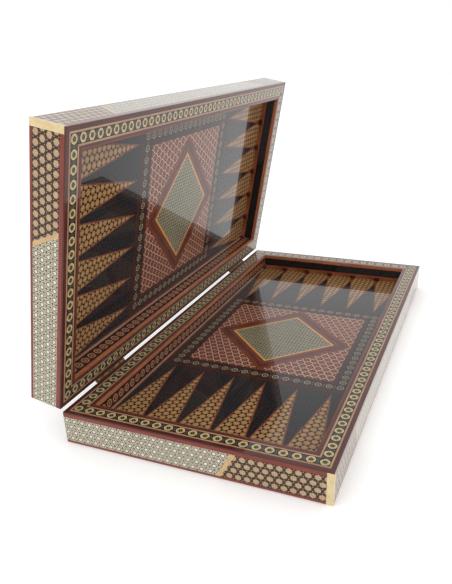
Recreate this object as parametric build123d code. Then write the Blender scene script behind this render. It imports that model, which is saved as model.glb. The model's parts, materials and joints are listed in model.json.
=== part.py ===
from build123d import *

import os
from math import sqrt

# Folding backgammon set in khatam marquetry: two equal trays on two brass butt hinges.
#
# Millimetres. The base tray lies on Z = 0, centred on the origin. X runs along the hinge edge,
# the hinge is on +Y and the opening edge is on -Y. The lid is the same tray turned over the base
# and opened by lid_angle about the hinge.

# Overall sizes of one tray
length = 500.0          # along the hinge edge
width = 250.0           # from the opening edge to the hinge edge
height = 33.0           # wall height, underside to rim
field_depth = 20.0      # rim down to the playing field

# Sheets and linings glued on the wooden core
side_sheet = 2.5        # outer walls
outer_sheet = 2.0       # big outside face
rim_sheet = 1.5         # strips on the rim
field_sheet = 1.0       # inlay of the playing field
lining = 2.2            # inner walls

# Strips across the rim, from the outer edge inwards; the lining's bead ends the rim
rim_edging_w = 4.2
rim_line_w = 1.6
rim_chain_w = 9.0
rim_inner_w = 2.4

# Outer walls
side_top_h = 3.5        # mahogany line under the rim strips
side_bottom_h = 3.5     # mahogany line at the bottom
bottom_round = 2.0      # rounded bottom edge
corner_strip_w = 6.0    # bone strip at the opening corners
spacer_w = 4.2          # slanted strip between two khatam sheets, measured along the wall
spacer_lean = 14.0      # how far the slanted strip leans between bottom and top
end_star_len = 76.0     # star sheet on an end wall, along its top edge
front_star_len = 70.0   # star sheet on the front wall, along its top edge

# Inner walls
bead_h = 4.3            # wooden bead at the top of the inner wall
bead_round = 0.7
long_foot_h = 3.0       # wooden line at the foot of the two long inner walls
rest_h = 5.0            # scalloped rests at the end walls, above the field
rest_depth = 8.5        # from the wall to a cusp
rest_web = 1.5          # from the wall to the bottom of a scallop
cusp_flat = 1.0

# Field
points_per_end = 6
point_meet = 17.0       # distance from the end wall where neighbouring points touch
tip_gap = 1.5           # ground left between a point's tip and the panel
string_w = 1.4          # stringing along a point's edge
panel_band_out = 7.5    # dark band outside the chain
panel_chain_w = 9.0
panel_band_in = 5.5     # dark band inside the chain
lozenge_band_w = 13.8   # wooden band of the lozenge, whose tips reach the panel's edging
lozenge_line_w = 2.3

# Big outside face
outer_border_w = 12.0

# Hinges
hinge_x = 168.0         # centre of each hinge from the middle
hinge_len = 48.0
knuckles = 5
knuckle_r = 2.0
knuckle_gap = 0.2       # between two knuckles, along the pin
pin_r = 0.9
pin_clear = 0.05        # running clearance in the lid's knuckles
pin_head_r = 1.5
pin_head_h = 0.8
leaf_t = 1.0
leaf_drop = 19.0        # from the pin to the leaf's far edge
barrel_clear = 0.3      # between a barrel and the wall, and around a barrel in the other leaf
rim_gap = 0.2           # between the two rims when the set is closed
screw_r = 1.0
screw_head_r = 1.9
screw_head_h = 0.9
screw_len = 9.0
screw_x = 16.0          # outer screws from the hinge's middle
screw_drop = 11.0       # screws below the pin

lid_angle = 79.0        # opened this far from closed

# Derived places
half_x, half_y = length / 2, width / 2
rim_w = rim_edging_w + 2 * rim_line_w + rim_chain_w + rim_inner_w + lining
rail_in = rim_w - lining
field_z = height - field_depth
core_top = field_z - field_sheet
field_x, field_y = half_x - rim_w, half_y - rim_w
pitch = 2 * field_y / points_per_end
panel_half = field_y
chain_out = panel_half - panel_band_out
chain_in = chain_out - panel_chain_w
ground_half = chain_in - panel_band_in
line_reach = ground_half - lozenge_band_w * sqrt(2)
heart_reach = line_reach - lozenge_line_w * sqrt(2)
rim_z = height - rim_sheet
side_z0, side_z1 = side_bottom_h, rim_z - side_top_h
hinge_y = half_y + knuckle_r + barrel_clear
hinge_z = height + rim_gap / 2


def slab(x0, x1, y0, y1, z0, z1):
    """Box between two corners."""
    return Pos((x0 + x1) / 2, (y0 + y1) / 2, (z0 + z1) / 2) * Box(x1 - x0, y1 - y0, z1 - z0)


def prism(points, z0, z1):
    """Flat piece of a polygonal outline between two heights."""
    face = make_face(Polyline([(x, y, z0) for x, y in points], close=True))
    return extrude(face, amount=z1 - z0, dir=(0, 0, 1))


def mitred(ax, ay, bx, by, z0, z1):
    """Four mitred bars between an outer and an inner rectangle, given as half sizes."""
    outer = [(-ax, -ay), (ax, -ay), (ax, ay), (-ax, ay)]
    inner = [(-bx, -by), (bx, -by), (bx, by), (-bx, by)]
    bars = []
    for i in range(4):
        j = (i + 1) % 4
        bars.append(prism([outer[i], outer[j], inner[j], inner[i]], z0, z1))
    return bars


def rim_ring(a, b, z0, z1):
    """Four mitred bars of the wall, between a and b from the tray's outer faces."""
    return mitred(half_x - a, half_y - a, half_x - b, half_y - b, z0, z1)


def lozenge_ring(a, b, z0, z1):
    """Four mitred bars between two upright squares standing on a tip, given as half diagonals."""
    outer = [(a, 0), (0, a), (-a, 0), (0, -a)]
    inner = [(b, 0), (0, b), (-b, 0), (0, -b)]
    return [prism([outer[i], outer[(i + 1) % 4], inner[(i + 1) % 4], inner[i]], z0, z1) for i in range(4)]


def wall_panel(points, side, face_at):
    """Sheet on an outer wall. Points are (along the wall, height); side is 'x' or 'y'."""
    if side == "x":
        lo, hi = sorted((face_at, face_at - side_sheet * (1 if face_at > 0 else -1)))
        face = make_face(Polyline([(lo, s, z) for s, z in points], close=True))
        return extrude(face, amount=hi - lo, dir=(1, 0, 0))
    lo, hi = sorted((face_at, face_at - side_sheet * (1 if face_at > 0 else -1)))
    face = make_face(Polyline([(s, lo, z) for s, z in points], close=True))
    return extrude(face, amount=hi - lo, dir=(0, 1, 0))


def screw(x, z):
    """Countersunk wood screw driven into the hinge wall along -Y."""
    face_y = half_y + leaf_t
    cone = Pos(x, face_y - screw_head_h / 2, z) * Rot(90, 0, 0) * Cone(
        screw_head_r, screw_r, screw_head_h)
    shank = Pos(x, face_y - screw_head_h - screw_len / 2, z) * Rot(90, 0, 0) * Cylinder(
        screw_r, screw_len)
    return cone + shank


def screws():
    """Three screws in each hinge leaf."""
    return [screw(s * hinge_x + dx, hinge_z - screw_drop)
            for s in (-1, 1) for dx in (-screw_x, 0, screw_x)]


def drilled(piece):
    """The piece with the screws' holes in it."""
    for one in screws():
        piece = piece - one
    return piece


# ---- wooden core -------------------------------------------------------------------------

def core_board():
    return [slab(-half_x + rail_in, half_x - rail_in, -half_y + rail_in, half_y - rail_in,
                 outer_sheet, core_top)]


def rails():
    bars = rim_ring(side_sheet, rail_in, outer_sheet, rim_z)
    return [drilled(bar) if i == 2 else bar for i, bar in enumerate(bars)]


# ---- rim ---------------------------------------------------------------------------------

def rim_edging():
    return rim_ring(0, rim_edging_w, rim_z, height)


def rim_lines():
    a = rim_edging_w
    b = a + rim_line_w + rim_chain_w
    return (rim_ring(a, a + rim_line_w, rim_z, height)
            + rim_ring(b, b + rim_line_w, rim_z, height))


def rim_chain():
    a = rim_edging_w + rim_line_w
    return rim_ring(a, a + rim_chain_w, rim_z, height)


def rim_inner_edging():
    return rim_ring(rail_in - rim_inner_w, rail_in, rim_z, height)


# ---- outer walls -------------------------------------------------------------------------

def wall_bar(x0, x1, y0, y1, z0, z1, edge_axis=None, edge_at=None):
    """Straight bar on an outer wall, with its outer bottom edge rounded when asked."""
    bar = slab(x0, x1, y0, y1, z0, z1)
    if edge_axis is None:
        return bar
    across = Axis.X if edge_axis == Axis.Y else Axis.Y
    edges = [e for e in bar.edges().filter_by(edge_axis)
             if abs(e.center().Z - z0) < 1e-6
             and abs((e.center().X if across == Axis.X else e.center().Y) - edge_at) < 1e-6]
    return fillet(edges, min(bottom_round, side_sheet * 0.9, (z1 - z0) * 0.9))


def side_lines(z0, z1, rounded):
    """Mahogany line on all four outer walls between two heights."""
    bars = []
    for s in (-1, 1):
        x0, x1 = sorted((s * half_x, s * (half_x - side_sheet)))
        bars.append(wall_bar(x0, x1, -half_y + corner_strip_w, half_y, z0, z1,
                             Axis.Y if rounded else None, s * half_x))
    for s in (-1, 1):
        y0, y1 = sorted((s * half_y, s * (half_y - side_sheet)))
        bars.append(wall_bar(-half_x + side_sheet, half_x - side_sheet, y0, y1, z0, z1,
                             Axis.X if rounded else None, s * half_y))
    return bars


def side_top_line():
    bars = side_lines(side_z1, rim_z, False)
    return bars[:3] + [drilled(bars[3])]


def side_bottom_line():
    return side_lines(0, side_bottom_h, True)


def side_star_khatam():
    """Star sheets: one on each end wall and two on the front wall, cut slanting."""
    top, low = end_star_len, end_star_len + spacer_lean
    y0 = -half_y + corner_strip_w
    outline = [(y0, side_z0), (y0 + low, side_z0), (y0 + top, side_z1), (y0, side_z1)]
    pieces = [wall_panel(outline, "x", s * half_x) for s in (-1, 1)]
    top, low = front_star_len, front_star_len + spacer_lean
    x0 = half_x - side_sheet
    for s in (-1, 1):
        outline = [(s * x0, side_z0), (s * (x0 - low), side_z0), (s * (x0 - top), side_z1),
                   (s * x0, side_z1)]
        pieces.append(wall_panel(outline, "y", -half_y))
    return pieces


def side_spacers():
    """Slanted cream strips beside the star sheets."""
    y0 = -half_y + corner_strip_w + end_star_len
    outline = [(y0 + spacer_lean, side_z0), (y0 + spacer_lean + spacer_w, side_z0),
               (y0 + spacer_w, side_z1), (y0, side_z1)]
    pieces = [wall_panel(outline, "x", s * half_x) for s in (-1, 1)]
    x0 = half_x - side_sheet - front_star_len
    for s in (-1, 1):
        outline = [(s * (x0 - spacer_lean), side_z0), (s * (x0 - spacer_lean - spacer_w), side_z0),
                   (s * (x0 - spacer_w), side_z1), (s * x0, side_z1)]
        pieces.append(wall_panel(outline, "y", -half_y))
    return pieces


def side_pale_khatam():
    """Pale sheets: the rest of the end and front walls, and the whole hinge wall."""
    y0 = -half_y + corner_strip_w + end_star_len + spacer_w
    outline = [(y0 + spacer_lean, side_z0), (half_y, side_z0), (half_y, side_z1), (y0, side_z1)]
    pieces = [wall_panel(outline, "x", s * half_x) for s in (-1, 1)]
    x0 = half_x - side_sheet - front_star_len - spacer_w
    outline = [(-x0 + spacer_lean, side_z0), (x0 - spacer_lean, side_z0), (x0, side_z1), (-x0, side_z1)]
    pieces.append(wall_panel(outline, "y", -half_y))
    xb = half_x - side_sheet
    outline = [(-xb, side_z0), (xb, side_z0), (xb, side_z1), (-xb, side_z1)]
    pieces.append(drilled(wall_panel(outline, "y", half_y)))
    return pieces


def corner_strips():
    """Bone strips at the two opening corners, rounded at the foot and down the corner."""
    strips = []
    for s in (-1, 1):
        x0, x1 = sorted((s * half_x, s * (half_x - side_sheet)))
        strip = slab(x0, x1, -half_y, -half_y + corner_strip_w, 0, rim_z)
        foot = [e for e in strip.edges().filter_by(Axis.Y)
                if abs(e.center().Z) < 1e-6 and abs(e.center().X - s * half_x) < 1e-6]
        strips.append(fillet(foot, min(bottom_round, side_sheet * 0.9)))
    return strips


# ---- inner walls -------------------------------------------------------------------------

def wall_bead():
    """Wooden bead along the top of the inner walls, its free edge softened."""
    bars = rim_ring(rail_in, rim_w, height - bead_h, height)
    soft = []
    for i, bar in enumerate(bars):
        along_x = i % 2 == 0
        edges = [e for e in bar.edges().filter_by(Axis.X if along_x else Axis.Y)
                 if abs(e.center().Z - height) < 1e-6
                 and abs(abs(e.center().Y if along_x else e.center().X)
                         - (field_y if along_x else field_x)) < 1e-6]
        soft.append(fillet(edges, min(bead_round, lining * 0.4)))
    return soft


def wall_lining(long_z0, end_z0, long_z1, end_z1):
    """Lining of the four inner walls: the long ones run past the short ones."""
    pieces = []
    for s in (-1, 1):
        y0, y1 = sorted((s * field_y, s * (field_y + lining)))
        pieces.append(slab(-field_x - lining, field_x + lining, y0, y1, long_z0, long_z1))
        x0, x1 = sorted((s * field_x, s * (field_x + lining)))
        pieces.append(slab(x0, x1, -field_y, field_y, end_z0, end_z1))
    return pieces


def wall_khatam():
    return wall_lining(field_z + long_foot_h, field_z + rest_h, height - bead_h, height - bead_h)


def wall_foot():
    return wall_lining(core_top, core_top, field_z + long_foot_h, field_z + rest_h)


def scalloped_rests():
    """A strip along each end of the field, scalloped once for each point."""
    half_chord = (pitch - cusp_flat) / 2
    sag = rest_depth - rest_web
    radius = (half_chord ** 2 + sag ** 2) / (2 * sag)
    strips = []
    for s in (-1, 1):
        x0, x1 = sorted((s * field_x, s * (field_x - rest_depth)))
        strip = slab(x0, x1, -field_y, field_y, field_z, field_z + rest_h)
        for i in range(points_per_end):
            y = -field_y + (i + 0.5) * pitch
            strip = strip - Pos(s * (field_x - rest_web - radius), y, field_z + rest_h / 2) * Cylinder(
                radius, rest_h + 2)
        strips.append(strip)
    return strips


# ---- playing field -----------------------------------------------------------------------

def point_outline(s, i, inset):
    """Outline of one point at the end s, drawn in by inset from its two long edges."""
    y = -field_y + (i + 0.5) * pitch
    tip_x = panel_half + tip_gap
    run = field_x - point_meet - tip_x
    slope = (pitch / 2) / run
    cut = inset * sqrt(1 + slope ** 2)
    tip = tip_x + cut / slope
    w = pitch / 2 - cut
    return [(s * tip, y), (s * (field_x - point_meet), y + w), (s * field_x, y + w),
            (s * field_x, y - w), (s * (field_x - point_meet), y - w)]


def all_points():
    return [(s, i) for s in (-1, 1) for i in range(points_per_end)]


def points():
    return [prism(point_outline(s, i, string_w), core_top, field_z) for s, i in all_points()]


def point_strings():
    """Two strings to a point, meeting at its tip."""
    strings = []
    for s, i in all_points():
        outer, inner = point_outline(s, i, 0), point_outline(s, i, string_w)
        strings.append(prism([outer[0], outer[1], outer[2], inner[2], inner[1], inner[0]],
                             core_top, field_z))
        strings.append(prism([outer[0], inner[0], inner[4], inner[3], outer[3], outer[4]],
                             core_top, field_z))
    return strings


def field_ground():
    """Black ground of each end of the field, around the points."""
    grounds = []
    for s in (-1, 1):
        y, tip_x = field_y, panel_half + tip_gap
        outline = [(s * panel_half, -y), (s * (field_x - point_meet), -y)]
        for i in range(points_per_end):
            mid = -y + (i + 0.5) * pitch
            outline.append((s * tip_x, mid))
            outline.append((s * (field_x - point_meet), mid + pitch / 2))
        outline.append((s * panel_half, y))
        grounds.append(prism(outline, core_top, field_z))
    return grounds


def panel_edging():
    return (mitred(panel_half, panel_half, chain_out, chain_out, core_top, field_z)
            + mitred(chain_in, chain_in, ground_half, ground_half, core_top, field_z))


def panel_chain():
    return mitred(chain_out, chain_out, chain_in, chain_in, core_top, field_z)


def panel_ground():
    """The four corners of the panel outside the lozenge."""
    g = ground_half
    return [prism([(sx * g, sy * g), (sx * g, 0), (0, sy * g)], core_top, field_z)
            for sx in (-1, 1) for sy in (-1, 1)]


def lozenge_band():
    return lozenge_ring(ground_half, line_reach, core_top, field_z)


def lozenge_line():
    return lozenge_ring(line_reach, heart_reach, core_top, field_z)


def lozenge_heart():
    r = heart_reach
    return [prism([(r, 0), (0, r), (-r, 0), (0, -r)], core_top, field_z)]


# ---- big outside face --------------------------------------------------------------------

def outer_border():
    return rim_ring(side_sheet, side_sheet + outer_border_w, 0, outer_sheet)


def outer_panel():
    a = side_sheet + outer_border_w
    return [slab(-half_x + a, half_x - a, -half_y + a, half_y - a, 0, outer_sheet)]


# ---- hinges ------------------------------------------------------------------------------

def knuckle_span(k):
    """Start and end of knuckle k along the hinge."""
    step = hinge_len / knuckles
    return -hinge_len / 2 + k * step + knuckle_gap / 2, -hinge_len / 2 + (k + 1) * step - knuckle_gap / 2


def tube(x0, x1, radius):
    return Pos((x0 + x1) / 2, hinge_y, hinge_z) * Rot(0, 90, 0) * Cylinder(radius, x1 - x0)


def leaf(centre, own, bore):
    """One leaf screwed on the hinge wall, with the knuckles of its own that wrap the pin."""
    x0, x1 = centre - hinge_len / 2, centre + hinge_len / 2
    low_z = hinge_z - leaf_drop
    plate = slab(x0, x1, half_y, half_y + leaf_t, low_z, hinge_z - knuckle_r - barrel_clear)
    for k in own:
        a, b = knuckle_span(k)
        plate = plate + slab(centre + a, centre + b, half_y, half_y + leaf_t,
                             hinge_z - knuckle_r - barrel_clear - 1, hinge_z)
        plate = plate + tube(centre + a, centre + b, knuckle_r)
    plate = plate - tube(x0 - 1, x1 + 1, bore)
    return drilled(plate)


def hinge_leaves(own, bore):
    return [leaf(s * hinge_x, own, bore) for s in (-1, 1)]


def hinge_pins():
    """Headed pins, tight in the base's knuckles."""
    pins = []
    for s in (-1, 1):
        x0, x1 = s * hinge_x - hinge_len / 2, s * hinge_x + hinge_len / 2
        pins.append(tube(x0, x1, pin_r) + tube(x0 - pin_head_h, x0, pin_head_r)
                    + tube(x1, x1 + pin_head_h, pin_head_r))
    return pins


# ---- assembly ----------------------------------------------------------------------------

TRAY = {
    "core_board": core_board, "rails": rails, "rim_edging": rim_edging, "rim_lines": rim_lines,
    "rim_chain": rim_chain, "rim_inner_edging": rim_inner_edging, "side_top_line": side_top_line,
    "side_bottom_line": side_bottom_line, "side_star_khatam": side_star_khatam,
    "side_pale_khatam": side_pale_khatam, "side_spacers": side_spacers,
    "corner_strips": corner_strips, "wall_bead": wall_bead, "wall_khatam": wall_khatam,
    "wall_foot": wall_foot, "scalloped_rests": scalloped_rests, "field_ground": field_ground,
    "points": points, "point_strings": point_strings, "panel_edging": panel_edging,
    "panel_chain": panel_chain, "panel_ground": panel_ground, "lozenge_band": lozenge_band,
    "lozenge_line": lozenge_line, "lozenge_heart": lozenge_heart, "outer_border": outer_border,
    "outer_panel": outer_panel,
}


def as_lid(piece):
    """Turn a piece of the tray over the base, then open it about the hinge."""
    closed = piece.rotate(Axis((0, 0, hinge_z), (0, 1, 0)), 180)
    return closed.rotate(Axis((0, hinge_y, hinge_z), (-1, 0, 0)), lid_angle)


def write(name, pieces):
    """One STEP file for a node, a solid for each piece."""
    solids = [solid for piece in pieces for solid in piece.solids()]
    export_step(Compound(children=solids), f"parts/{name}.step")


def main():
    os.makedirs("parts", exist_ok=True)
    for name, make in TRAY.items():
        pieces = make()
        write(f"base_{name}", pieces)
        write(f"lid_{name}", [as_lid(p) for p in pieces])
    base_own = range(0, knuckles, 2)
    lid_own = range(1, knuckles, 2)
    write("hinge_leaves_base", hinge_leaves(base_own, pin_r))
    write("hinge_leaves_lid", [as_lid(p) for p in hinge_leaves(lid_own, pin_r + pin_clear)])
    write("hinge_pins", hinge_pins())
    write("hinge_screws_base", screws())
    write("hinge_screws_lid", [as_lid(p) for p in screws()])


main()
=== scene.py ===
# %% [markdown]
# # A folding backgammon set in khatam
# The set is two shallow wooden trays on two brass hinges. Most of what shows is khatam, a
# marquetry of tiny rods of bone, brass and coloured wood, and the rest is plain strips of wood
# and bone, all under a thick clear lacquer. The trays, strips, sheets and hinges arrive as exact
# solids, so the shapes are already right. This lesson gives each of them its finish, and then
# sets a floor, a light and a camera around the open set.

# %% Load the solids
import json
from math import degrees, radians, sqrt

import bpy
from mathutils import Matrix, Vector


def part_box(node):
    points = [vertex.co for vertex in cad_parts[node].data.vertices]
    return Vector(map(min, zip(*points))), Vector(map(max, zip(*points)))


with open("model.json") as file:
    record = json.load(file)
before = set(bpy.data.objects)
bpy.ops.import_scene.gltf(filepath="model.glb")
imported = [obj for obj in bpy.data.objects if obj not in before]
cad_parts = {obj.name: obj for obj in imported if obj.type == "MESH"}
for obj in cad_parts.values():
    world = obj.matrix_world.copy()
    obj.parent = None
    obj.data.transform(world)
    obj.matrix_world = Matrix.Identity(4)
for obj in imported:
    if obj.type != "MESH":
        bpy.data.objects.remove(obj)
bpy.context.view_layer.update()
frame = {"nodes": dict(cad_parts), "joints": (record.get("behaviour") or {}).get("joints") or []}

# %% [markdown]
# The patterns have to line up with the strips that hold them. Most sizes are therefore read from
# the solids and not typed again: the base tray's edging gives the outline, the points give the
# field, and so on. Millimetres are easier to think in than metres for work this fine.

# %% Measure the tray
MM = 1000           # millimetres in a metre
HALF_CHAIN = 4.5    # the chains of the rim and of the panel are both 9 mm wide


def reach(node, axis):
    """How far a solid reaches from the middle along an axis, in millimetres."""
    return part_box(node)[1][axis] * MM


half_x, half_y, height = (reach("base_rim_edging", axis) for axis in range(3))
field_x, field_y = reach("base_points", 0), reach("base_panel_edging", 1)
field_z = reach("base_field_ground", 2)
panel_half = reach("base_panel_edging", 0)
chain_out = reach("base_panel_chain", 0)
ground_half = reach("base_panel_ground", 0)
line_reach = reach("base_lozenge_line", 0)
chain_edge = half_x - reach("base_rim_chain", 0)
panel_edge = half_x - reach("base_outer_panel", 0)
side_low, side_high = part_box("base_side_star_khatam")[0][2] * MM, reach("base_side_star_khatam", 2)
wall_low, wall_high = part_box("base_wall_khatam")[0][2] * MM, reach("base_wall_khatam", 2)
print(f"tray {2 * half_x:.0f} by {2 * half_y:.0f} by {height:.0f} mm, field at {field_z:.0f} mm")

hinge = frame["joints"][0]
hinge_at = Vector(hinge["pos_m"])
hinge_axis = Vector(hinge["axis"])
opened = radians(-hinge["range_deg"][0])
print("the lid stands open by", round(degrees(opened)), "degrees")

# %% [markdown]
# A finish is a small network of shader nodes. Wiring them by hand hides the idea behind the
# pattern, so a socket is wrapped in a class that knows the ordinary operators. `1 - mask` or
# `u % pitch` then adds the right Math node by itself, and the pattern reads like geometry.

# %% A socket that does sums
class Signal:
    """A socket of a finish, usable in arithmetic."""

    def __init__(self, finish, socket):
        self.finish = finish
        self.socket = socket

    def math(self, operation, first, second=0.0):
        return self.finish.node("ShaderNodeMath", {"operation": operation}, {0: first, 1: second})

    def __add__(self, other):
        return self.math("ADD", self, other)

    def __sub__(self, other):
        return self.math("SUBTRACT", self, other)

    def __rsub__(self, other):
        return self.math("SUBTRACT", other, self)

    def __mul__(self, other):
        return self.math("MULTIPLY", self, other)

    def __mod__(self, other):
        return self.math("FLOORED_MODULO", self, other)

    def __pow__(self, other):
        return self.math("POWER", self, other)

    def __lt__(self, other):
        return self.math("LESS_THAN", self, other)

    def __gt__(self, other):
        return self.math("GREATER_THAN", self, other)

    def __neg__(self):
        return self.math("MULTIPLY", self, -1.0)

    def __abs__(self):
        return self.math("ABSOLUTE", self)

    __radd__ = __add__
    __rmul__ = __mul__


def smaller(a, b):
    return a.math("MINIMUM", a, b)


def larger(a, b):
    return a.math("MAXIMUM", a, b)


print("a Signal knows + - * % ** < > and abs")

# %% [markdown]
# The lid is the same tray turned over and opened, so its patterns are laid out once, on the
# base, and the lid's points are brought back into the base's frame first: turned about the hinge
# until closed, then flipped. A tray's finish therefore has two versions, one for each tray, and it
# always works with x along the hinge, y towards it and z up from the underside. Lacquer
# darkens what it soaks into and lies on top as a clear, almost mirror-smooth coat.

# %% A finish in the tray's own frame
def shade(red, green, blue):
    """A colour given as a painter's 0 to 255 values, turned into linear light."""
    linear = [((c / 255 + 0.055) / 1.055) ** 2.4 if c > 10 else c / 255 / 12.92 for c in (red, green, blue)]
    return (*linear, 1.0)


DEEPENED = 0.17     # share of black that soaked-in lacquer adds to a colour
COAT_ROUGH = 0.035  # polished lacquer, a little softer than a mirror
COAT_IOR = 1.37     # bends light less than glass does, so its mirror image stays faint


class Finish:
    """A material being built for one tray, with its position signals in millimetres."""

    def __init__(self, name, tray):
        self.material = bpy.data.materials.new(f"{name}_{tray}")
        self.material.use_nodes = True
        self.tree = self.material.node_tree
        self.tree.nodes.clear()
        place = self.node("ShaderNodeTexCoord", out="Object")
        if tray == "lid":
            place = self.node("ShaderNodeVectorRotate", {"rotation_type": "AXIS_ANGLE"}, {
                "Vector": place, "Center": hinge_at, "Axis": hinge_axis, "Angle": -opened})
        split = self.node("ShaderNodeSeparateXYZ", sockets={"Vector": place})
        x, y, z = (Signal(self, split.socket.node.outputs[i]) for i in range(3))
        if tray == "lid":
            x, z = -x, 2 * hinge_at.z - z
        self.x, self.y, self.z = x * MM, y * MM, z * MM

    def node(self, kind, settings=None, sockets=None, out=0):
        """Adds a node: settings first, then the values or links of its sockets."""
        made = self.tree.nodes.new(kind)
        for name, value in (settings or {}).items():
            setattr(made, name, value)
        for key, value in (sockets or {}).items():
            if isinstance(value, Signal):
                self.tree.links.new(value.socket, made.inputs[key])
            else:
                made.inputs[key].default_value = value
        return Signal(self, made.outputs[out]) if made.outputs else None

    def blend(self, mask, under, over):
        """Colour `over` where the mask is 1, and `under` where it is 0."""
        return self.node("ShaderNodeMix", {"data_type": "RGBA"}, {0: mask, 6: under, 7: over}, out=2)

    def noise(self, x, y, z, detail=3.0):
        """Soft noise about 0.5 at a place given in cells of the noise."""
        place = self.node("ShaderNodeCombineXYZ", sockets={0: x, 1: y, 2: z})
        return self.node("ShaderNodeTexNoise", sockets={
            "Vector": place, "Scale": 1.0, "Detail": detail, "Roughness": 0.6})

    def lacquered(self, colour, roughness, relief, depth=0.05):
        """Closes the finish: its colour and relief, under a clear flat lacquer."""
        colour = self.blend(DEEPENED, colour, shade(0, 0, 0))
        bump = self.node("ShaderNodeBump", sockets={
            "Height": relief, "Strength": 0.6, "Distance": depth / MM})
        shader = self.node("ShaderNodeBsdfPrincipled", sockets={
            "Base Color": colour, "Roughness": roughness, "Normal": bump, "Specular IOR Level": 0.05,
            "Coat Weight": 1.0, "Coat Roughness": COAT_ROUGH, "Coat IOR": COAT_IOR})
        self.node("ShaderNodeOutputMaterial", sockets={"Surface": shader})
        return self.material


print("lid frame: turned back", round(degrees(opened)), "degrees about", list(hinge_axis))

# %% [markdown]
# Khatam is laid out on a triangular lattice: each rosette sits in a hexagonal cell. The cell is
# found by comparing two staggered rectangular lattices and keeping the nearer centre. Inside it,
# a hexagon, a six-pointed star and a ring are each one distance compared with one size.

# %% Lattice and shapes
SLANT = sqrt(3) / 2  # height of a triangle whose sides are 1


def wrap(value, period):
    """Signed distance from the nearest multiple of the period."""
    return (value + period / 2) % period - period / 2


def choose(mask, yes, no):
    """One of two signals, by a mask of 1 or 0."""
    return no + (yes - no) * mask


def hex_cell(u, v, pitch):
    """Place inside the hexagonal cell, measured from its centre. Rows run along u."""
    rows = pitch * 2 * SLANT
    a, b = wrap(u, pitch), wrap(v, rows)
    c, d = wrap(u - pitch / 2, pitch), wrap(v - rows / 2, rows)
    nearer = (a * a + b * b) < (c * c + d * d)
    return choose(nearer, a, c), choose(nearer, b, d)


def hexagon(a, b):
    """Distance that is constant on hexagons with flats facing along a."""
    return larger(abs(a), abs(a) * 0.5 + abs(b) * SLANT)


def star(a, b):
    """Distance that is constant on six-pointed stars with a tip along a, half the tip's reach."""
    side = abs(b) * SLANT
    return smaller(larger(a, side - a * 0.5), larger(-a, side + a * 0.5))


def disc(a, b):
    """Distance from the middle."""
    return (a * a + b * b) ** 0.5


def inside(distance, size, soft=0.14):
    """Mask of 1 where the distance is under the size, with an edge as soft as a glue line."""
    return distance.finish.node("ShaderNodeMath", {"operation": "MULTIPLY_ADD", "use_clamp": True}, {
        0: distance, 1: -1 / soft, 2: size / soft + 0.5})


def stroke(distance, size, width):
    """Mask of a line of that width along the edge of a shape."""
    return inside(abs(distance - size), width / 2)


def corner_distance(a, b, pitch):
    """Distance from the nearest corner of the cell."""
    along, up = abs(a), abs(b)
    side_x, side_y = along - pitch / 2, up - pitch / (4 * SLANT)
    top_y = up - pitch / (2 * SLANT)
    return smaller(disc(side_x, side_y), disc(along, top_y))


print("shapes on the lattice: hexagon, star, disc, stroke, corner_distance")

# %% [markdown]
# The strips of the rim and the field's frames are mitred: each bar runs along its own edge. A
# point belongs to the long bars when it is nearer to the long edge than to the short one. From
# that come the distance along the bar and the distance in from the edge, and a thin dark joint
# where two bars meet.

# %% Along and across a mitred frame
MITRE_GLUE = 0.12  # half the width of the dark joint


def framed(finish, far_x, far_y):
    """Along, distance in from the edge, mask of the long bars, and the mitre's dark joint."""
    from_end, from_long = far_x - abs(finish.x), far_y - abs(finish.y)
    long_bar = from_long < from_end
    along = choose(long_bar, finish.x, finish.y)
    joint = inside(abs(from_end - from_long), MITRE_GLUE)
    return along, smaller(from_end, from_long), long_bar, joint


def chain_place(finish, far_x, far_y, centre, pitch):
    """Place in a chain's link, spaced so that one link sits on every corner of the frame."""
    _, inward, long_bar, joint = framed(finish, far_x, far_y)
    steps = []
    for far, way in ((far_x, finish.x), (far_y, finish.y)):
        run = far - centre
        fitted = 2 * run / round(2 * run / pitch)
        steps.append((wrap(way - run, fitted), fitted))
    u = choose(long_bar, steps[0][0], steps[1][0])
    return u, inward - centre, steps[0][1], joint


print("rim chain centred", round(chain_edge + HALF_CHAIN, 1), "mm in from the edge")

# %% [markdown]
# Wood first. The mahogany lines, the orange beads and the light stringing are all thin strips
# cut along the grain. Stretched noise gives long figure, finer noise gives pores and fibres, and
# a tone that changes along the strip keeps two neighbours from looking like one plank. Bump from
# the pores is kept shallow, because the lacquer fills them.

# %% Wood along a strip
FIGURE_ALONG, FIGURE_ACROSS = 0.035, 0.55  # cells of noise in a millimetre
FIBRE_ALONG, FIBRE_ACROSS = 0.22, 3.4
PORE_LEVEL = 0.4                           # fibres under this level are open pores
WOOD_ROUGH = 0.38


def grain(finish, along, across, depth):
    """Long figure, fine fibres and the open pores among them."""
    figure = finish.noise(along * FIGURE_ALONG, across * FIGURE_ACROSS, depth * FIGURE_ACROSS, detail=5.0)
    fibre = finish.noise(along * FIBRE_ALONG, across * FIBRE_ACROSS, depth * FIBRE_ACROSS, detail=4.0)
    return figure, fibre, inside(fibre, PORE_LEVEL, soft=0.08)


def wood(finish, dark, light, along, across, depth, joint=None, rough=WOOD_ROUGH):
    """Closes a finish as lacquered wood, its grain running along the given signal."""
    figure, fibre, pores = grain(finish, along, across, depth)
    tone = (figure - 0.32) * 2.0 + (fibre - 0.5) * 0.9
    colour = finish.blend(inside(tone, 0.5, soft=1.0), light, dark)
    colour = finish.blend(pores * 0.4, colour, shade(44, 20, 14))
    if joint is not None:
        colour = finish.blend(joint * 0.7, colour, shade(28, 14, 10))
    roughness = rough + (fibre - 0.5) * 0.3
    return finish.lacquered(colour, roughness, fibre - pores * 0.5)


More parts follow.
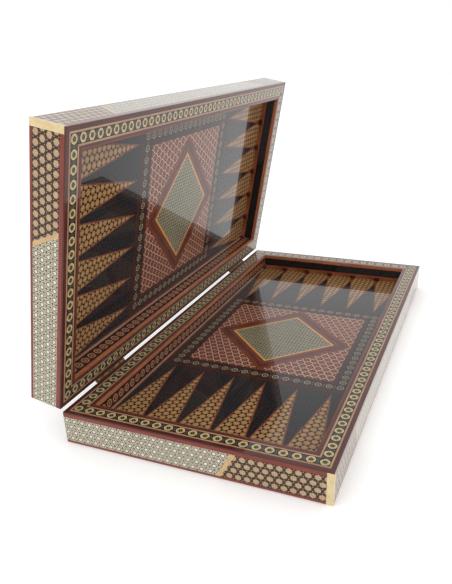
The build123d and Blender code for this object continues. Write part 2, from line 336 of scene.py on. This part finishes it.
def frame_wood(name, tray, dark, light, far_x=half_x, far_y=half_y):
    """Wood in four mitred bars, the grain running along each."""
    finish = Finish(name, tray)
    along, inward, _, joint = framed(finish, far_x, far_y)
    return wood(finish, dark, light, along, inward, finish.z, joint)


def rim_edging(tray):
    return frame_wood("dark_mahogany_rim", tray, shade(66, 28, 22), shade(108, 52, 42))


def rim_lines(tray):
    return frame_wood("light_line_rim", tray, shade(172, 126, 94), shade(210, 168, 132))


def rim_inner_edging(tray):
    return frame_wood("mahogany_rim", tray, shade(72, 28, 20), shade(114, 52, 38))


BEAD_TOP_SHADE = 0.35  # depth of the bead's top that is painted browner, as painted shade for how light falls on it


def wall_bead(tray):
    finish = Finish("bead", tray)
    along, inward, _, joint = framed(finish, half_x, half_y)
    # Painted shade: the bead's top face is painted browner than its orange side, for how the light falls on
    # it.
    top = inside(height - finish.z, BEAD_TOP_SHADE, soft=0.3)
    dark = finish.blend(top, shade(172, 92, 54), shade(82, 38, 29))
    light = finish.blend(top, shade(224, 142, 94), shade(138, 82, 64))
    return wood(finish, dark, light, along, inward, finish.z, joint)


def panel_edging(tray):
    dark, light = shade(46, 18, 14), shade(80, 34, 26)
    return frame_wood("dark_mahogany_panel", tray, dark, light, panel_half, panel_half)


def side_line(tray):
    return frame_wood("red_mahogany_side", tray, shade(122, 48, 37), shade(160, 78, 62))


def outer_border(tray):
    return frame_wood("mahogany_outside", tray, shade(86, 32, 22), shade(132, 62, 44))


print("woods: rim, panel, sides, beads")

# %% [markdown]
# The two long inner walls end in a pale line at the field, and the end walls stand behind the
# scalloped rests. The rests are orange wood like the beads. The front of each cusp is painted dark
# red as painted shade and painted reflection, for the cusp's shaded front face and its mirror image
# in the lacquered field, so their finish looks at how far a point stands out from the wall.

# %% Foot lines and scalloped rests
SLACK = 0.01        # keeps a lining that stands on the field's long edge with the long wall
REST_DEPTH = 8.5    # from the end wall to the front of a cusp
PAINTED_SHADE_DEPTH = 2.6   # how much of the cusp's front is painted dark, as painted shade and reflection


def wall_foot(tray):
    finish = Finish("foot_line", tray)
    long_wall = abs(finish.y) > field_y - SLACK
    along = choose(long_wall, finish.x, finish.y)
    return wood(finish, shade(176, 118, 88), shade(218, 166, 132), along, finish.z, finish.z * 0.2)


def scalloped_rests(tray):
    finish = Finish("scalloped_rest", tray)
    out = field_x - abs(finish.x)
    fibre = finish.noise(finish.y * 0.22, out * 3.0, finish.z * 3.0)
    figure = finish.noise(finish.y * 0.03, out * 0.5, finish.z * 0.5)
    orange = finish.blend(figure, shade(112, 52, 30), shade(182, 104, 62))
    # Painted shade and painted reflection: the front of each cusp is darkened for its shaded face and its
    # mirror image in the lacquer.
    painted_shade = inside(REST_DEPTH - out, PAINTED_SHADE_DEPTH, soft=1.2)
    colour = finish.blend(painted_shade, orange, shade(70, 20, 14))
    return finish.lacquered(colour, 0.36 + (fibre - 0.5) * 0.3, fibre)


print("rests stained over the last", PAINTED_SHADE_DEPTH, "mm of", REST_DEPTH)

# %% [markdown]
# Bone closes the opening corners of the walls. It is nearly white with a warm cast, fine canals
# run along it, and it yellows in patches. The slanted dividers between the khatam sheets are a
# light orange wood, which needs the same fine canals and patches in other colours.

# %% Bone and light dividers
def bone_like(name, tray, dark, light):
    """Bone or pale wood standing on end, its canals running up the wall."""
    finish = Finish(name, tray)
    canals = finish.noise(finish.x * 2.6, finish.y * 2.6, finish.z * 0.16, detail=4.0)
    patches = finish.noise(finish.x * 0.12, finish.y * 0.12, finish.z * 0.09)
    colour = finish.blend((patches - 0.3) * 2.2, light, dark)
    colour = finish.blend(inside(canals, 0.4, soft=0.1) * 0.35, colour, shade(150, 112, 66))
    return finish.lacquered(colour, 0.3 + canals * 0.2, canals)


def corner_strips(tray):
    return bone_like("bone", tray, shade(222, 190, 132), shade(240, 220, 172))


def side_spacers(tray):
    return bone_like("divider", tray, shade(204, 162, 110), shade(224, 190, 142))


print("bone and dividers ready")

# %% [markdown]
# Each khatam sheet is sliced from a block of glued rods, so it is a mosaic: no two rods have
# quite the same tone. A fine cell pattern, a little under a millimetre wide, varies the tone and
# gives the slight relief that the lacquer doesn't fill. Every khatam finish ends with it.

# %% Rods under the lacquer
RODS_PER_MM = 1.25


def khatam(finish, colour, u, v, rough=0.4):
    """Closes a finish as rods under lacquer, with the tone of each rod a little different."""
    place = finish.node("ShaderNodeCombineXYZ", sockets={0: u, 1: v, 2: 0.0})
    rods = finish.node("ShaderNodeTexVoronoi", sockets={"Vector": place, "Scale": RODS_PER_MM})
    tone = finish.node("ShaderNodeTexVoronoi", sockets={"Vector": place, "Scale": RODS_PER_MM}, out="Color")
    lift = finish.node("ShaderNodeSeparateColor", sockets={"Color": tone})
    ageing = finish.noise(u * 0.03, v * 0.03, 0.0)
    colour = finish.blend(lift * 0.3, colour, shade(24, 15, 10))
    colour = finish.blend((ageing - 0.5) * 0.6, colour, shade(40, 22, 12))
    return finish.lacquered(colour, rough + (lift - 0.5) * 0.24, lift * 0.6 - rods, depth=0.03)


print("rods of about", 1 / RODS_PER_MM, "mm")

# %% [markdown]
# The rim carries a chain of rosettes: a bright bone ring with brass petals round a dark star, on
# black, and two small loops between neighbours. The spacing is fitted so that one rosette sits
# on each corner, as a maker would cut it.

# %% Rim chain
RIM_LINK = 11.55  # from rosette to rosette, before fitting


def rim_chain(tray):
    finish = Finish("rosette_khatam", tray)
    centre = chain_edge + HALF_CHAIN
    u, v, pitch, joint = chain_place(finish, half_x, half_y, centre, RIM_LINK)
    ring, groove, petals, heart, pin = 3.85, 3.05, 2.5, 1.3, 0.5
    loop_rise, loop_size, loop_line = 2.15, 1.05, 0.5
    shape = (hexagon(v, u) + disc(u, v)) * 0.5
    gap = wrap(u - pitch / 2, pitch)
    loop = disc(gap, abs(v) - loop_rise)
    wedge = star(gap, v)
    colour = finish.blend(stroke(loop, loop_size, loop_line), shade(24, 17, 13), shade(112, 100, 72))
    colour = finish.blend(inside(wedge, 0.42), colour, shade(126, 110, 76))
    colour = finish.blend(inside(shape, ring), colour, shade(234, 218, 172))
    colour = finish.blend(stroke(shape, groove, 0.22), colour, shade(120, 92, 48))
    colour = finish.blend(inside(shape, petals), colour, shade(196, 160, 88))
    colour = finish.blend(inside(star(v, u), heart), colour, shade(38, 32, 18))
    colour = finish.blend(inside(disc(u, v), pin), colour, shade(170, 130, 66))
    colour = finish.blend(joint * 0.5, colour, shade(24, 14, 10))
    return khatam(finish, colour, u, v, rough=0.34)


print("rim rosettes about", RIM_LINK, "mm apart")

# %% [markdown]
# The outer walls have two sheets each. The star sheet has bone stars between crossing black
# lines, with an eye at every crossing, and the pale sheet has white dots on a close weave. Both
# hold four rows in the height of the sheet. The end walls and the long walls run in different
# directions, so the place along the sheet is chosen by which wall a point is on.

# %% Star sheets and pale sheets
SHEET_ROWS = 4
STAR_PITCH = 7.9
PALE_PITCH = 8.1
THREADS = 5         # threads of the pale weave from one row of dots to the next
STAR_SHIFT = 9.0    # a star's middle lies this far from the end of the wall
CORNER_SLACK = 0.1  # a point this near the end of the outline is on an end wall


def side_place(finish, pitch):
    """Along the wall, up the wall and scaled so that four rows fill the sheet."""
    end_wall = abs(finish.x) > half_x - CORNER_SLACK
    along = choose(end_wall, finish.y + half_y, finish.x + half_x)
    squeeze = pitch * SLANT * SHEET_ROWS / (side_high - side_low)
    up = (finish.z - side_low) * squeeze - pitch * SLANT / 2
    return along, up


def side_star_khatam(tray):
    finish = Finish("star_khatam", tray)
    along, up = side_place(finish, STAR_PITCH)
    a, b = hex_cell(along - STAR_SHIFT, up, STAR_PITCH)
    eye = corner_distance(a, b, STAR_PITCH)
    lines = stroke(hexagon(b, a), STAR_PITCH * SLANT / 2, 0.8)
    tips, body, ring, eye_ring, eye_dot = 1.65, 2.35, 1.1, 1.0, 0.6
    colour = finish.blend(inside(star(b, a), tips), shade(132, 98, 74), shade(216, 186, 148))
    colour = finish.blend(inside(hexagon(a, b), body), colour, shade(208, 178, 140))
    colour = finish.blend(stroke(disc(a, b), ring, 0.18), colour, shade(172, 136, 98))
    colour = finish.blend(lines, colour, shade(30, 20, 17))
    colour = finish.blend(stroke(eye, eye_ring, 0.6), colour, shade(24, 16, 14))
    colour = finish.blend(inside(eye, eye_dot), colour, shade(178, 140, 100))
    return khatam(finish, colour, along, up)


def side_pale_khatam(tray):
    finish = Finish("pale_khatam", tray)
    along, up = side_place(finish, PALE_PITCH)
    a, b = hex_cell(along, up, PALE_PITCH)
    rise, fall = b * 0.5 + a * SLANT, b * 0.5 - a * SLANT
    weave = PALE_PITCH * SLANT / THREADS
    dot, dot_ring, eye_size = 1.4, 1.85, 0.85
    threads = larger(stroke(wrap(rise, weave), 0.0, 0.7), stroke(wrap(fall, weave), 0.0, 0.5))
    eye = corner_distance(a, b, PALE_PITCH)
    colour = finish.blend(threads, shade(84, 75, 57), shade(230, 222, 196))
    colour = finish.blend(stroke(hexagon(b, a), dot_ring, 0.55), colour, shade(72, 66, 50))
    colour = finish.blend(inside(eye, eye_size), colour, shade(52, 44, 33))
    colour = finish.blend(inside(hexagon(b, a), dot), colour, shade(252, 246, 228))
    return khatam(finish, colour, along, up)


print("wall sheets between", round(side_low, 1), "and", round(side_high, 1), "mm")

# %% [markdown]
# Inside, the long walls carry a chain of copper-coloured rings with dark red middles, on nearly
# black wood. The end walls have the same black khatam as the ground of the field: dark rods with
# a faint grey ring in every cell, which shows only when the light catches it.

# %% Inner walls and black ground
BLACK_PITCH = 5.0
WALL_LINK = 10.4


def black_cells(finish, u, v):
    """Colour of the black khatam at a place on its sheet."""
    a, b = hex_cell(u, v, BLACK_PITCH)
    colour = finish.blend(stroke(hexagon(a, b), 1.5, 0.5), shade(5, 4, 5), shade(56, 57, 66))
    colour = finish.blend(inside(star(a, b), 0.38), colour, shade(74, 60, 56))
    return finish.blend(inside(corner_distance(a, b, BLACK_PITCH), 0.4), colour, shade(46, 36, 36))


def field_ground(tray):
    finish = Finish("black_khatam", tray)
    return khatam(finish, black_cells(finish, finish.x, finish.y), finish.x, finish.y, rough=0.3)


def wall_khatam(tray):
    finish = Finish("wall_khatam", tray)
    long_wall = abs(finish.y) > field_y - SLACK
    along = choose(long_wall, finish.x, finish.y)
    up = finish.z - (wall_low + wall_high) / 2
    u = wrap(along, WALL_LINK)
    gap = wrap(along - WALL_LINK / 2, WALL_LINK)
    ring = (hexagon(up, u) + disc(u, up)) * 0.5
    ring_size, middle, heart = 3.9, 2.7, 1.1
    loop_rise, loop_size, loop_line = 2.2, 0.9, 0.4
    loop = stroke(disc(gap, abs(up) - loop_rise), loop_size, loop_line)
    colour = finish.blend(loop, shade(26, 12, 9), shade(138, 80, 56))
    colour = finish.blend(inside(ring, ring_size), colour, shade(214, 152, 112))
    colour = finish.blend(inside(ring, middle), colour, shade(60, 20, 14))
    colour = finish.blend(inside(star(up, u), heart), colour, shade(196, 124, 86))
    edge = inside(abs(abs(up) - (wall_high - wall_low) / 2), 0.5)
    colour = finish.blend(edge, colour, shade(112, 50, 34))
    colour = finish.blend(long_wall, black_cells(finish, along, up), colour)
    return khatam(finish, colour, along, up)


print("inner wall sheets", round(wall_high - wall_low, 1), "mm high")

# %% [markdown]
# The points are brass-coloured hexagons that almost touch, with a small black triangle left at
# every corner. Each point carries the same cut of the sheet, centred on the point, so the
# pattern starts again at each point's own middle. A red string runs down both of its edges.

# %% Points and their strings
POINTS_PER_END = 6
POINT_CELL = 7.2
point_pitch = 2 * field_y / POINTS_PER_END


def points(tray):
    finish = Finish("gold_khatam", tray)
    across = wrap(finish.y - point_pitch / 2, point_pitch)
    a, b = hex_cell(abs(finish.x) - field_x, across, POINT_CELL)
    cell = hexagon(b, a)
    rim, face, groove, pin = POINT_CELL * 0.45, POINT_CELL * 0.395, 1.7, 0.5
    colour = finish.blend(inside(cell, rim), shade(12, 8, 6), shade(92, 58, 32))
    colour = finish.blend(inside(cell, face), colour, shade(196, 150, 98))
    colour = finish.blend(stroke(cell, groove, 0.25), colour, shade(156, 110, 64))
    colour = finish.blend(inside(star(a, b), pin), colour, shade(206, 170, 118))
    return khatam(finish, colour, finish.x, finish.y, rough=0.34)


def point_strings(tray):
    finish = Finish("string", tray)
    return wood(finish, shade(108, 54, 38), shade(158, 94, 68), finish.x, finish.y, finish.z)


print("points", round(point_pitch, 2), "mm apart")

# %% [markdown]
# The panel between the points has a frame of pale rings on black, four corners of red
# hexagons held in a pale net, and a lozenge. The lozenge's mahogany band holds a thin dark line
# with a grey core: on a square standing on its tip, the distance from the middle is |x| + |y|.

# %% Panel
PANEL_LINK = 11.5
RED_PITCH = 8.6
HEART_PITCH = 4.3


def panel_chain(tray):
    finish = Finish("panel_chain", tray)
    centre = panel_half - (chain_out - HALF_CHAIN)
    u, v, pitch, joint = chain_place(finish, panel_half, panel_half, centre, PANEL_LINK)
    ring = (hexagon(v, u) + disc(u, v)) * 0.5
    gap = wrap(u - pitch / 2, pitch)
    dots = disc(gap, abs(v) - 1.9)
    dot_size, bead_size, ring_size, middle, heart = 0.75, 0.6, 3.5, 2.65, 0.95
    colour = finish.blend(inside(dots, dot_size), shade(26, 15, 12), shade(150, 134, 112))
    colour = finish.blend(inside(disc(gap, v), bead_size), colour, shade(120, 60, 42))
    colour = finish.blend(inside(ring, ring_size), colour, shade(192, 178, 156))
    colour = finish.blend(inside(ring, middle), colour, shade(36, 22, 18))
    colour = finish.blend(inside(star(v, u), heart), colour, shade(150, 126, 98))
    colour = finish.blend(joint * 0.4, colour, shade(24, 14, 10))
    return khatam(finish, colour, u, v)


def red_cells(finish, u, v):
    """Colour of the red khatam at a place on its sheet."""
    a, b = hex_cell(u, v, RED_PITCH)
    cell, net, middle, ring, knot = hexagon(a, b), 0.68, 2.75, 1.35, 0.75
    colour = finish.blend(inside(cell, RED_PITCH / 2 - net), shade(238, 194, 164), shade(146, 74, 58))
    colour = finish.blend(inside(disc(a, b), middle), colour, shade(78, 20, 15))
    colour = finish.blend(stroke(disc(a, b), ring, 0.6), colour, shade(206, 140, 112))
    return finish.blend(inside(corner_distance(a, b, RED_PITCH), knot), colour, shade(66, 26, 20))


def panel_ground(tray):
    finish = Finish("red_khatam", tray)
    return khatam(finish, red_cells(finish, finish.y, finish.x), finish.x, finish.y)


def lozenge_band(tray):
    finish = Finish("lozenge_band", tray)
    inward = (abs(finish.x) + abs(finish.y)) * sqrt(0.5)
    rising = (finish.x * finish.y) > 0.0
    slope, other = (finish.x - finish.y) * sqrt(0.5), (finish.x + finish.y) * sqrt(0.5)
    along = choose(rising, slope, other)
    figure, fibre, pores = grain(finish, along, inward, 0.0)
    colour = finish.blend((figure - 0.3) * 2.2, shade(96, 34, 22), shade(156, 74, 52))
    colour = finish.blend(pores * 0.4, colour, shade(52, 18, 12))
    from_middle = abs(inward - (ground_half + line_reach) * sqrt(0.5) / 2)
    half_line, half_core = 1.5, 0.3
    colour = finish.blend(inside(from_middle, half_line), colour, shade(34, 16, 14))
    colour = finish.blend(inside(from_middle, half_core), colour, shade(116, 104, 102))
    return finish.lacquered(colour, WOOD_ROUGH + (fibre - 0.5) * 0.3, fibre)


def lozenge_line(tray):
    finish = Finish("lozenge_line", tray)
    fibre = finish.noise(finish.x * 0.8, finish.y * 0.8, finish.z * 0.8, detail=4.0)
    colour = finish.blend(fibre, shade(206, 140, 66), shade(240, 192, 118))
    return finish.lacquered(colour, 0.3 + fibre * 0.2, fibre)


def lozenge_heart(tray):
    finish = Finish("fine_khatam", tray)
    a, b = hex_cell(finish.x, finish.y, HEART_PITCH)
    net, ring, knot = HEART_PITCH * 0.44, 0.9, 0.42
    colour = finish.blend(stroke(hexagon(a, b), net, 0.6), shade(40, 38, 28), shade(204, 196, 164))
    colour = finish.blend(stroke(disc(a, b), ring, 0.42), colour, shade(150, 144, 112))
    colour = finish.blend(inside(corner_distance(a, b, HEART_PITCH), knot), colour, shade(22, 20, 15))
    return khatam(finish, colour, finish.x, finish.y)


print("panel", round(2 * panel_half), "mm square")

# %% [markdown]
# The big outside faces repeat the same vocabulary: a field of bone stars on dark brown, a
# lozenge of red cells framed in mahogany and a pale string, and a chain of rosettes between two
# pale lines. One sheet holds them all, so one finish does, choosing the pattern by the distance
# in from the edge and, for the lozenge, by the distance from the middle.

# %% Outside faces
OUTER_CHAIN = 7.5                          # middle of the chain, in from the sheet's edge
OUTER_LINE, OUTER_LINK_END, OUTER_FRAME = 2.0, 13.0, 15.5  # where the bands end, from the edge
LOZENGE_OUT, LOZENGE_STRING, LOZENGE_IN = 82.0, 76.0, 73.5  # half heights of the lozenge's bands


def outer_panel(tray):
    finish = Finish("outside_khatam", tray)
    _, inward, _, _ = framed(finish, half_x, half_y)
    u, v, pitch, _ = chain_place(finish, half_x, half_y, panel_edge + OUTER_CHAIN, RIM_LINK)
    shape = (hexagon(v, u) + disc(u, v)) * 0.5
    gap = wrap(u - pitch / 2, pitch)
    wedge, ring, petals, heart = 0.5, 3.95, 2.5, 1.3
    chain = finish.blend(inside(star(gap, v), wedge), shade(24, 17, 13), shade(126, 110, 76))
    chain = finish.blend(inside(shape, ring), chain, shade(236, 220, 170))
    chain = finish.blend(inside(shape, petals), chain, shade(190, 152, 84))
    chain = finish.blend(inside(star(v, u), heart), chain, shade(38, 32, 18))
    a, b = hex_cell(finish.x, finish.y, STAR_PITCH)
    tips, body, line = 1.5, 2.1, 0.9
    field = finish.blend(inside(star(b, a), tips), shade(62, 34, 26), shade(212, 184, 144))
    field = finish.blend(inside(hexagon(a, b), body), field, shade(202, 172, 132))
    field = finish.blend(stroke(hexagon(b, a), STAR_PITCH * SLANT / 2, line), field, shade(30, 20, 17))
    tip = abs(finish.x) * 0.5 + abs(finish.y)
    colour = finish.blend(inside(tip, LOZENGE_OUT), field, shade(120, 52, 36))
    colour = finish.blend(inside(tip, LOZENGE_STRING), colour, shade(222, 172, 100))
    colour = finish.blend(inside(tip, LOZENGE_IN), colour, red_cells(finish, finish.x, finish.y))
    colour = finish.blend(inside(inward, panel_edge + OUTER_FRAME), colour, shade(214, 168, 122))
    colour = finish.blend(inside(inward, panel_edge + OUTER_LINK_END), colour, chain)
    colour = finish.blend(inside(inward, panel_edge + OUTER_LINE), colour, shade(214, 168, 122))
    return khatam(finish, colour, finish.x, finish.y)


def core_wood(tray):
    finish = Finish("core_wood", tray)
    return wood(finish, shade(150, 112, 72), shade(206, 168, 118), finish.x, finish.y, finish.z, rough=0.6)


print("outside faces framed", round(panel_edge, 1), "mm in")

# %% [markdown]
# The hinges are sheet brass that has gone brown in patches, and steel screws hold
# them. Metal needs little pattern: brushed scratches along the leaf, and dark tarnish in
# patches that is both rougher and less metallic.

# %% Brass and steel
def metal(name, clean, tarnished, amount):
    """Brushed metal with patches of tarnish, which a larger amount spreads further."""
    finish = Finish(name, "base")
    brushed = finish.noise(finish.x * 0.5, finish.y * 8.0, finish.z * 8.0, detail=4.0)
    patches = finish.noise(finish.x * 0.25, finish.y * 0.6, finish.z * 0.6, detail=5.0)
    worn = inside(patches, amount, soft=0.18)
    colour = finish.blend(worn, clean, tarnished)
    colour = finish.blend(brushed * 0.25, colour, tarnished)
    bump = finish.node("ShaderNodeBump", sockets={
        "Height": brushed, "Strength": 0.4, "Distance": 0.02 / MM})
    shader = finish.node("ShaderNodeBsdfPrincipled", sockets={
        "Base Color": colour, "Metallic": 1 - worn * 0.4, "Roughness": 0.26 + worn * 0.3 + brushed * 0.1,
        "Normal": bump})
    finish.node("ShaderNodeOutputMaterial", sockets={"Surface": shader})
    return finish.material


brass = metal("brass", shade(158, 132, 90), shade(78, 62, 46), 0.55)
steel = metal("steel", shade(176, 172, 164), shade(96, 90, 82), 0.4)
print("metals:", brass.name, steel.name)

# %% [markdown]
# Now the finishes are put on. A solid keeps its shape and place, and only the material in its
# slot changes. Each finish of a tray is made twice, for the base and for the lid, and the two
# metals serve both.

# %% Dress the trays and the hinges
FINISHES = {
    "core_board": core_wood, "rails": core_wood, "rim_edging": rim_edging, "rim_lines": rim_lines,
    "rim_chain": rim_chain, "rim_inner_edging": rim_inner_edging, "side_top_line": side_line,
    "side_bottom_line": side_line, "side_star_khatam": side_star_khatam,
    "side_pale_khatam": side_pale_khatam, "side_spacers": side_spacers,
    "corner_strips": corner_strips, "wall_bead": wall_bead, "wall_khatam": wall_khatam,
    "wall_foot": wall_foot, "scalloped_rests": scalloped_rests, "field_ground": field_ground,
    "points": points, "point_strings": point_strings, "panel_edging": panel_edging,
    "panel_chain": panel_chain, "panel_ground": panel_ground, "lozenge_band": lozenge_band,
    "lozenge_line": lozenge_line, "lozenge_heart": lozenge_heart, "outer_border": outer_border,
    "outer_panel": outer_panel,
}


def dress(node, material):
    """Puts one material in every slot of a solid."""
    solid = frame["nodes"][node]
    if not solid.material_slots:
        solid.data.materials.append(material)
    for place in solid.material_slots:
        place.material = material


for tray in ("base", "lid"):
    made = {}
    for part, recipe in FINISHES.items():
        if recipe not in made:
            made[recipe] = recipe(tray)
        dress(f"{tray}_{part}", made[recipe])
    dress(f"hinge_leaves_{tray}", brass)
    dress(f"hinge_screws_{tray}", steel)
dress("hinge_pins", brass)
print("dressed", len(frame["nodes"]), "solids with", len(bpy.data.materials), "materials")

# %% [markdown]
# Lacquer shows what surrounds it, so the light matters as much as the finish. A white surround
# gives the open faces their soft grey sheen and leaves them dark where one tray mirrors the
# other. A large soft lamp high over the near left end adds shape and a gentle shadow on a pale
# floor.

# %% Floor, surround and lamp
floor_mesh = bpy.data.meshes.new("floor")
FAR = 6.0  # half the side of the floor, in metres
floor_mesh.from_pydata([(-FAR, -FAR, 0), (FAR, -FAR, 0), (FAR, FAR, 0), (-FAR, FAR, 0)], [], [(0, 1, 2, 3)])
floor = bpy.data.objects.new("floor", floor_mesh)
bpy.context.collection.objects.link(floor)
pale = bpy.data.materials.new("pale_floor")
pale.use_nodes = True
skin = pale.node_tree.nodes["Principled BSDF"]
skin.inputs["Base Color"].default_value = (0.93, 0.93, 0.93, 1)
skin.inputs["Emission Color"].default_value = (1, 1, 1, 1)
skin.inputs["Emission Strength"].default_value = 0.2
skin.inputs["Roughness"].default_value = 0.6
floor_mesh.materials.append(pale)

world = bpy.data.worlds.new("surround")
world.use_nodes = True
white = world.node_tree.nodes["Background"]
white.inputs["Color"].default_value = (1, 1, 1, 1)
white.inputs["Strength"].default_value = 1.0
bpy.context.scene.world = world

lamp_data = bpy.data.lights.new("softbox", "AREA")
lamp_data.energy = 7.0
lamp_data.size = 1.6
lamp = bpy.data.objects.new("softbox", lamp_data)
lamp.location = (-1.7, 0.1, 1.7)
lamp.rotation_euler = (-lamp.location).to_track_quat("-Z", "Y").to_euler()
bpy.context.collection.objects.link(lamp)
bpy.context.scene.view_settings.view_transform = "Standard"
print("lamp", lamp_data.energy, "W at", tuple(lamp.location))

# %% [markdown]
# The camera stands low, close to the near left corner of the base, and looks along the set. A
# little lens shift keeps the set in the frame without tilting the camera further.

# %% Camera
eye_data = bpy.data.cameras.new("camera")
eye_data.sensor_width = 36.0
eye_data.lens = 37.95
eye_data.shift_x = -0.0213
eye_data.shift_y = 0.0533
eye = bpy.data.objects.new("camera", eye_data)
eye.location = (-0.62505, -0.20604, 0.3313)
eye.rotation_euler = (radians(65.57), radians(1.4256), radians(-67.924))
bpy.context.collection.objects.link(eye)
bpy.context.scene.camera = eye
print("camera", round(eye.location.length, 3), "m from the middle of the base")
